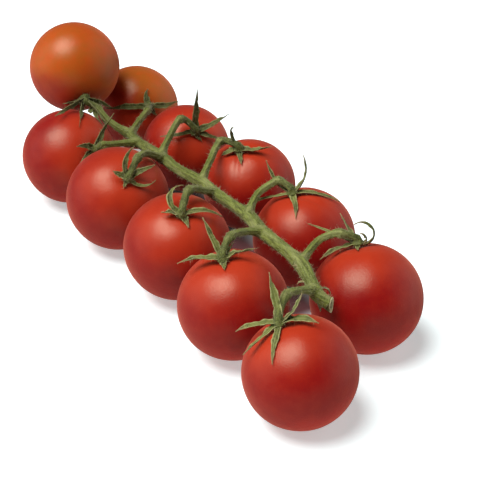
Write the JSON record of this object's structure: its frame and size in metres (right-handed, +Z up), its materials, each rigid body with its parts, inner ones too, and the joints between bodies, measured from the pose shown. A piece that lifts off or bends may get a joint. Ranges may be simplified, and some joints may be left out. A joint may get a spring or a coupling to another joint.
{
  "type": "truss of tomatoes",
  "caption": "Truss of small vine tomatoes, lying as picked: round fruits on both sides of a green stem, each with a leafy calyx, those at the tip still turning red.",
  "frame": {"origin": "on the surface that the truss lies on, below the middle of its bounding box", "axes": "+Z up; +Y along the stem from its cut end to its tip; +X across the two rows of fruit, to the right when looking along +Y"},
  "size_m": [0.0788, 0.1958, 0.0546],
  "materials": {
    "fruit_red": "satin",
    "fruit_orange": "satin",
    "stem_green": "matte",
    "calyx_green": "matte"
  },
  "bodies": {
    "root": {"tomato_01": "fruit_red", "tomato_02": "fruit_red", "tomato_03": "fruit_red", "tomato_04": "fruit_red", "tomato_05": "fruit_red", "tomato_06": "fruit_red", "tomato_07": "fruit_red", "tomato_08": "fruit_red", "tomato_09": "fruit_red", "tomato_10": "fruit_orange", "tomato_11": "fruit_orange", "calyx_01": "calyx_green", "calyx_02": "calyx_green", "calyx_03": "calyx_green", "calyx_04": "calyx_green", "calyx_05": "calyx_green", "calyx_06": "calyx_green", "calyx_07": "calyx_green", "calyx_08": "calyx_green", "calyx_09": "calyx_green", "calyx_10": "calyx_green", "calyx_11": "calyx_green", "stem": "stem_green"}
  },
  "joints": []
}
